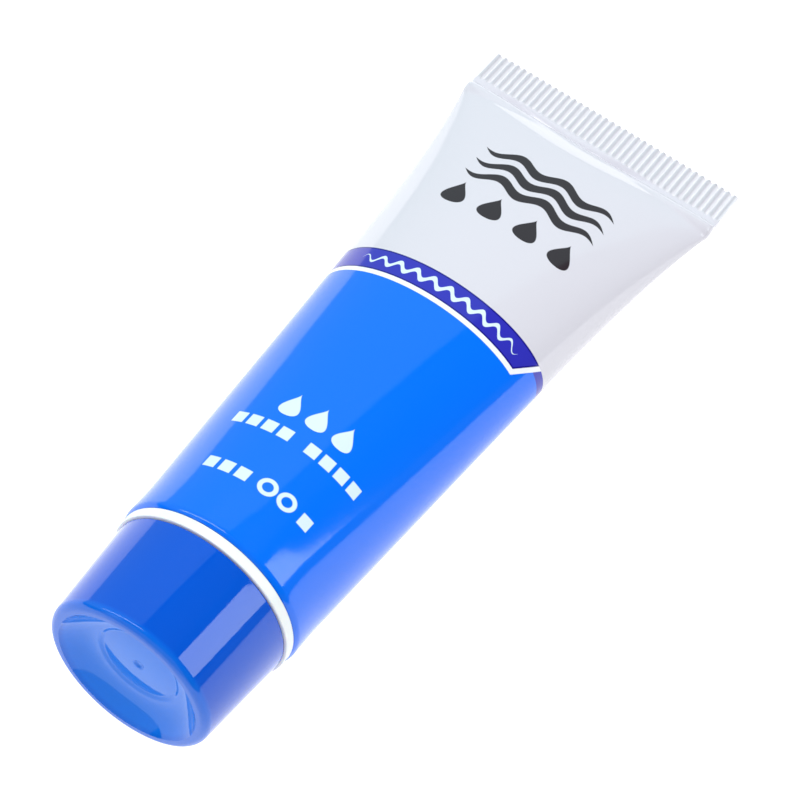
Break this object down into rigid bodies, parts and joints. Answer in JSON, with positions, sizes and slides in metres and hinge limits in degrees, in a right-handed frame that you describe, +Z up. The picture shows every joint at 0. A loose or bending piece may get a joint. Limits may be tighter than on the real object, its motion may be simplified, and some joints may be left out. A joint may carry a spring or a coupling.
{
  "type": "shaving cream tube",
  "caption": "Squeezable cosmetic tube with a flat crimped end and a wide screw cap, lying on its back, filled with shaving cream.",
  "frame": {"origin": "on the ground under the middle of the tube's bounding box", "axes": "+Y from the cap towards the crimped end, +Z up out of the printed front, +X to the right seen from the cap"},
  "size_m": [0.039, 0.109, 0.0248],
  "materials": {
    "sleeve_print": "gloss print, blue below and white above, on a white laminate",
    "head_plastic": "white polyethylene, satin",
    "barrier_film": "thin barrier moulding",
    "foil": "bright lacquered foil",
    "cream": "soft white cream",
    "liner_foam": "fine closed-cell foam",
    "cap_plastic": "polished blue polypropylene"
  },
  "bodies": {
    "tube": {"tube_sleeve": "sleeve_print", "tube_head": "head_plastic", "shoulder_insert": "barrier_film", "foil_seal": "foil", "cream": "cream"},
    "liner": {"cap_liner": "liner_foam"},
    "cap": {"screw_cap": "cap_plastic"}
  },
  "joints": [
    {"name": "cap_lift", "type": "slide", "parent": "tube", "child": "liner", "axis": [0, -0.9971, 0.0756], "range_m": [0, 0.015]},
    {"name": "cap_turn", "type": "hinge", "parent": "liner", "child": "cap", "pos_m": [0, -0.05379, 0.01358], "axis": [0, -0.9971, 0.0756], "range_deg": [0, 2160]}
  ],
  "couplings": [
    {"joint": "cap_lift", "follows": "cap_turn", "m_per_rad": 0.00039788}
  ]
}
